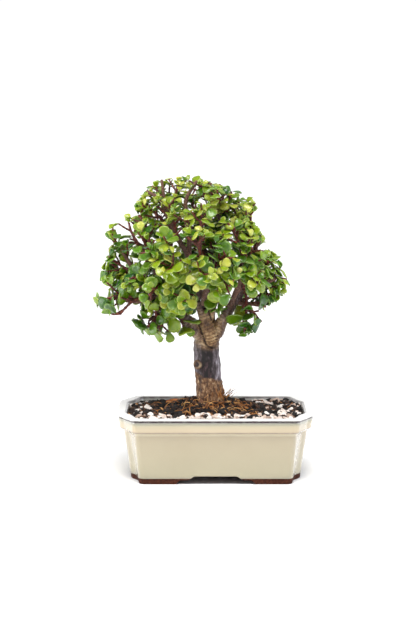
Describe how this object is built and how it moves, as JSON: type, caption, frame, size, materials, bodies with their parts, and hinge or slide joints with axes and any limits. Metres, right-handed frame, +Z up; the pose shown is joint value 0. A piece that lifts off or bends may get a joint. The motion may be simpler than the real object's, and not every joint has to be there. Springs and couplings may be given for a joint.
{
  "type": "potted succulent bonsai",
  "caption": "Elephant bush bonsai with a stout grey-brown trunk and a rounded crown of small fleshy leaves, in a cream glazed pot with indented corners.",
  "frame": {"origin": "on the surface that the pot's feet stand on, under the middle of the whole object's box", "axes": "+Z up along the tree, +X to the right and +Y away from the viewer of the pot's long front"},
  "size_m": [0.2334, 0.1668, 0.3146],
  "materials": {
    "cream_glaze": "gloss",
    "drain_mesh": "matte",
    "potting_mix": "matte",
    "bark": "matte",
    "leaf": "satin"
  },
  "bodies": {
    "root": {"pot": "cream_glaze", "drain_mesh_1": "drain_mesh", "drain_mesh_2": "drain_mesh", "soil": "potting_mix", "trunk": "bark", "spray_01": "leaf", "spray_02": "leaf", "spray_03": "leaf", "spray_04": "leaf", "spray_05": "leaf", "spray_06": "leaf", "spray_07": "leaf", "spray_08": "leaf", "spray_09": "leaf", "spray_10": "leaf", "spray_11": "leaf", "spray_12": "leaf", "spray_13": "leaf", "spray_14": "leaf", "spray_15": "leaf", "spray_16": "leaf", "spray_17": "leaf", "spray_18": "leaf", "spray_19": "leaf", "spray_20": "leaf", "spray_21": "leaf", "spray_22": "leaf", "spray_23": "leaf", "spray_24": "leaf", "spray_25": "leaf", "spray_26": "leaf", "spray_27": "leaf", "spray_28": "leaf", "spray_29": "leaf", "spray_30": "leaf", "spray_31": "leaf", "spray_32": "leaf", "spray_33": "leaf", "spray_34": "leaf", "spray_35": "leaf", "spray_36": "leaf", "spray_37": "leaf", "spray_38": "leaf", "spray_39": "leaf", "spray_40": "leaf", "spray_41": "leaf", "spray_42": "leaf", "spray_43": "leaf", "spray_44": "leaf", "spray_45": "leaf", "spray_46": "leaf", "spray_47": "leaf"}
  },
  "joints": []
}
